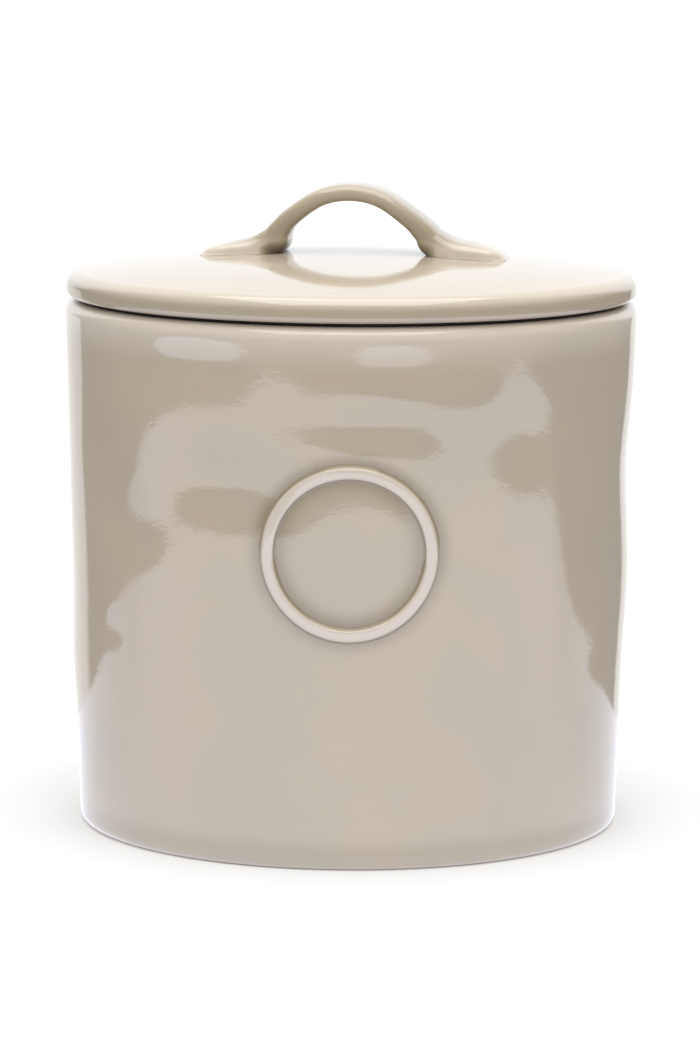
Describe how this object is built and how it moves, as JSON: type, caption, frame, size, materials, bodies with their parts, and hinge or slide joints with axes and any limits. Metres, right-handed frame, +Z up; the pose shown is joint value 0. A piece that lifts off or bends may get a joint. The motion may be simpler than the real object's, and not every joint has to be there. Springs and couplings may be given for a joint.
{
  "type": "storage canister",
  "caption": "Round glazed stoneware storage canister with a slightly flared, hand-formed wall, a plain raised ring on its front and a lift-off pillowed lid with an arched strap handle.",
  "frame": {"origin": "middle of the foot, on the surface that the canister stands on", "axes": "+Z up through the middle of the lid; -Y is the front, where the raised ring is; +X to the right of someone facing the front"},
  "size_m": [0.1798, 0.1803, 0.2016],
  "materials": {
    "glaze": "glossy glaze",
    "seal": "soft satin"
  },
  "bodies": {
    "jar": {"jar": "glaze", "roundel": "glaze"},
    "lid": {"lid": "glaze", "lid_handle": "glaze", "lid_seal": "seal"}
  },
  "joints": [
    {"name": "lid_lift", "type": "slide", "parent": "jar", "child": "lid", "axis": [0, 0, 1], "range_m": [0, 0.12]}
  ]
}
